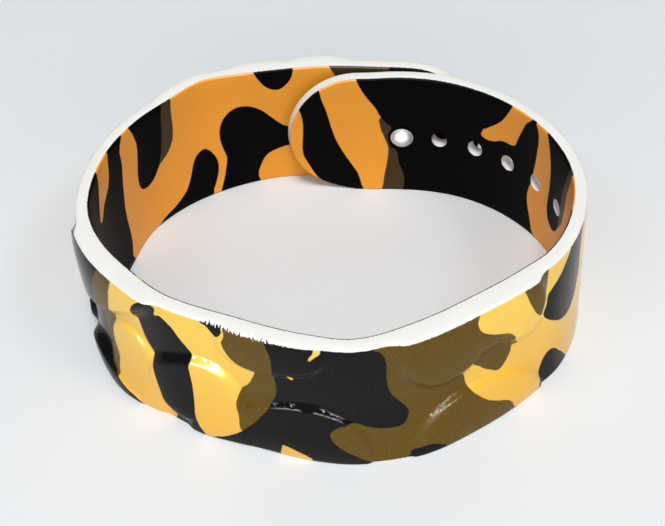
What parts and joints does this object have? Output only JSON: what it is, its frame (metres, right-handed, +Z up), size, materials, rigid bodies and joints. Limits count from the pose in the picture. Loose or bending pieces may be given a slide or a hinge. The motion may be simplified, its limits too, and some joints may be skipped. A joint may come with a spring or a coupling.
{
  "type": "silicone wristband",
  "caption": "Adjustable silicone wristband with a camouflage print and raised pads, fastened into a loop by a metal stud through a size hole, lying on its edge",
  "frame": {"origin": "centre of the bounding box, at its bottom, on the surface that the band rests on", "axes": "+X across the loop's longer width, +Y from the front of the loop to the fastening at its back, +Z up, across the strap's width"},
  "size_m": [0.0696, 0.0572, 0.022],
  "materials": {
    "silicone": "semi-gloss printed silicone, orange, olive and black over a white core that shows at the edges and in the holes",
    "stud_metal": "polished nickel plating"
  },
  "bodies": {
    "root": {"band": "silicone", "stud": "stud_metal"}
  },
  "joints": []
}
